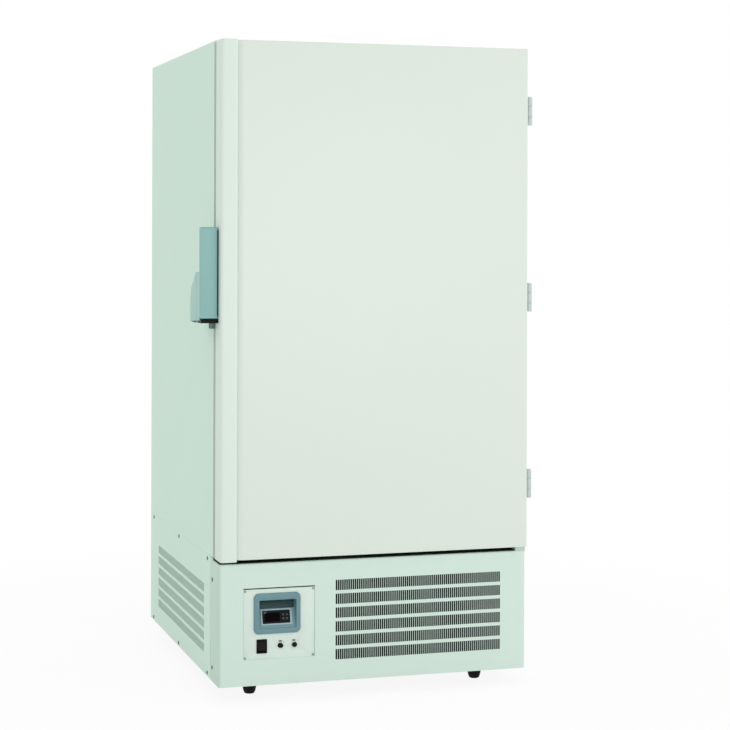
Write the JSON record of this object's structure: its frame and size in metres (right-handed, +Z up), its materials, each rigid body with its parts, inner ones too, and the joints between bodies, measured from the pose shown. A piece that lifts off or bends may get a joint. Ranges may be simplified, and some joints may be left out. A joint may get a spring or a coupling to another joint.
{
  "type": "ultra low temperature upright freezer",
  "caption": "Upright laboratory deep freezer with a foamed hinged door, side lever handle, inner doors, shelves and a vented machine base with a recessed digital controller.",
  "frame": {"origin": "on the floor, under the centre of the freezer's outer box", "axes": "+X to the viewer's right as seen from the front, +Y from the door towards the back panel, +Z up"},
  "size_m": [0.9495, 1.009, 1.79],
  "materials": {
    "body_paint": "gloss",
    "foam": "matte",
    "white_plastic": "satin",
    "stainless": "satin",
    "copper": "satin",
    "trim_plastic": "satin",
    "gasket_rubber": "matte",
    "hinge_metal": "satin",
    "handle_plastic": "satin",
    "steel": "satin",
    "lever_plastic": "satin",
    "chassis_steel": "satin",
    "black_plastic": "satin",
    "foot_rubber": "matte",
    "wheel_rubber": "satin",
    "plate_paint": "satin",
    "bezel_plastic": "satin",
    "key_plastic": "satin",
    "fin_metal": "satin",
    "compressor_paint": "gloss"
  },
  "bodies": {
    "cabinet": {"outer_shell": "body_paint", "back_panel": "body_paint", "insulation_foam": "foam", "breaker_collar": "white_plastic", "inner_liner": "stainless", "evaporator_coil": "copper", "shelves": "stainless", "shelf_supports": "stainless", "inner_door_hinges": "stainless", "hinge_brackets": "hinge_metal", "hinge_pins": "hinge_metal", "strike_housing": "handle_plastic", "striker_pin": "steel", "base_front_panel": "body_paint", "base_chassis": "chassis_steel", "side_service_panel_left": "body_paint", "side_service_panel_right": "body_paint", "rear_service_panel": "body_paint", "power_inlet": "black_plastic", "caster_mounts": "chassis_steel", "control_plate": "plate_paint", "display_bezel": "bezel_plastic", "controller_module": "black_plastic", "switch_housing": "black_plastic", "fuse_holders": "black_plastic", "condenser_coil": "fin_metal", "fan_shroud": "chassis_steel", "fan_motor": "black_plastic", "compressors": "compressor_paint", "cascade_heat_exchanger": "foam", "refrigerant_pipes": "copper", "electrical_box": "chassis_steel", "panel_screws": "steel"},
    "door": {"door_edge_trim": "trim_plastic", "door_outer_panel": "body_paint", "door_inner_panel": "white_plastic", "door_foam": "foam", "door_gasket": "gasket_rubber", "door_hinge_leaves": "hinge_metal", "handle_base": "handle_plastic", "handle_pivot_pin": "steel"},
    "handle": {"handle_lever": "lever_plastic"},
    "inner_lower": {"inner_door_lower": "white_plastic"},
    "inner_upper": {"inner_door_upper": "white_plastic"},
    "menu_key": {"key_menu": "key_plastic"},
    "up_key": {"key_up": "key_plastic"},
    "alarm_key": {"key_alarm": "key_plastic"},
    "down_key": {"key_down": "key_plastic"},
    "power_rocker": {"rocker": "black_plastic"},
    "left_fuse": {"fuse_cap_left": "black_plastic"},
    "right_fuse": {"fuse_cap_right": "black_plastic"},
    "fan": {"fan_rotor": "black_plastic"},
    "left_foot": {"levelling_foot_left": "foot_rubber"},
    "right_foot": {"levelling_foot_right": "foot_rubber"},
    "left_swivel": {"caster_fork_left": "chassis_steel"},
    "right_swivel": {"caster_fork_right": "chassis_steel"},
    "front_left_wheel": {"caster_wheel_front_left": "wheel_rubber"},
    "front_right_wheel": {"caster_wheel_front_right": "wheel_rubber"},
    "rear_left_wheel": {"caster_wheel_rear_left": "wheel_rubber"},
    "rear_right_wheel": {"caster_wheel_rear_right": "wheel_rubber"}
  },
  "joints": [
    {"name": "door_hinge", "type": "hinge", "parent": "cabinet", "child": "door", "pos_m": [0.46625, -0.4795, 1.086], "axis": [0, 0, 1], "range_deg": [0, 120]},
    {"name": "handle_pull", "type": "hinge", "parent": "door", "child": "handle", "pos_m": [-0.45175, -0.4615, 1.048], "axis": [1, 0, 0], "range_deg": [0, 35]},
    {"name": "inner_lower_hinge", "type": "hinge", "parent": "cabinet", "child": "inner_lower", "pos_m": [0.31125, -0.3745, 0.8], "axis": [0, 0, 1], "range_deg": [0, 90]},
    {"name": "inner_upper_hinge", "type": "hinge", "parent": "cabinet", "child": "inner_upper", "pos_m": [0.31125, -0.3745, 1.37], "axis": [0, 0, 1], "range_deg": [0, 90]},
    {"name": "power_rock", "type": "hinge", "parent": "cabinet", "child": "power_rocker", "pos_m": [-0.30825, -0.486, 0.15], "axis": [1, 0, 0], "range_deg": [0, 20]},
    {"name": "left_fuse_turn", "type": "hinge", "parent": "cabinet", "child": "left_fuse", "pos_m": [-0.25575, -0.489, 0.15], "axis": [0, 1, 0], "range_deg": [0, 90]},
    {"name": "right_fuse_turn", "type": "hinge", "parent": "cabinet", "child": "right_fuse", "pos_m": [-0.21775, -0.489, 0.15], "axis": [0, 1, 0], "range_deg": [0, 90]},
    {"name": "fan_spin", "type": "hinge", "parent": "cabinet", "child": "fan", "pos_m": [0.13825, -0.4, 0.182], "axis": [0, 1, 0], "continuous": true},
    {"name": "left_foot_screw", "type": "slide", "parent": "cabinet", "child": "left_foot", "axis": [0, 0, 1], "range_m": [-0.015, 0]},
    {"name": "right_foot_screw", "type": "slide", "parent": "cabinet", "child": "right_foot", "axis": [0, 0, 1], "range_m": [-0.015, 0]},
    {"name": "left_caster_swivel", "type": "hinge", "parent": "cabinet", "child": "left_swivel", "pos_m": [-0.31575, -0.2695, 0.06], "axis": [0, 0, 1], "continuous": true},
    {"name": "right_caster_swivel", "type": "hinge", "parent": "cabinet", "child": "right_swivel", "pos_m": [0.34225, -0.2695, 0.06], "axis": [0, 0, 1], "continuous": true},
    {"name": "front_left_roll", "type": "hinge", "parent": "left_swivel", "child": "front_left_wheel", "pos_m": [-0.31575, -0.2515, 0.0257], "axis": [1, 0, 0], "continuous": true},
    {"name": "front_right_roll", "type": "hinge", "parent": "right_swivel", "child": "front_right_wheel", "pos_m": [0.34225, -0.2515, 0.0257], "axis": [1, 0, 0], "continuous": true},
    {"name": "rear_left_roll", "type": "hinge", "parent": "cabinet", "child": "rear_left_wheel", "pos_m": [-0.31575, 0.4105, 0.025], "axis": [1, 0, 0], "continuous": true},
    {"name": "rear_right_roll", "type": "hinge", "parent": "cabinet", "child": "rear_right_wheel", "pos_m": [0.34225, 0.4105, 0.025], "axis": [1, 0, 0], "continuous": true},
    {"name": "menu_press", "type": "slide", "parent": "cabinet", "child": "menu_key", "axis": [0, 0.9613, -0.2756], "range_m": [0, 0.0008], "stiffness_N_per_m": 400},
    {"name": "up_press", "type": "slide", "parent": "cabinet", "child": "up_key", "axis": [0, 0.9613, -0.2756], "range_m": [0, 0.0008], "stiffness_N_per_m": 400},
    {"name": "alarm_press", "type": "slide", "parent": "cabinet", "child": "alarm_key", "axis": [0, 0.9613, -0.2756], "range_m": [0, 0.0008], "stiffness_N_per_m": 400},
    {"name": "down_press", "type": "slide", "parent": "cabinet", "child": "down_key", "axis": [0, 0.9613, -0.2756], "range_m": [0, 0.0008], "stiffness_N_per_m": 400}
  ],
  "couplings": [
    {"joint": "inner_lower_hinge", "follows": "door_hinge", "ratio": 0.75},
    {"joint": "inner_upper_hinge", "follows": "door_hinge", "ratio": 0.75}
  ]
}
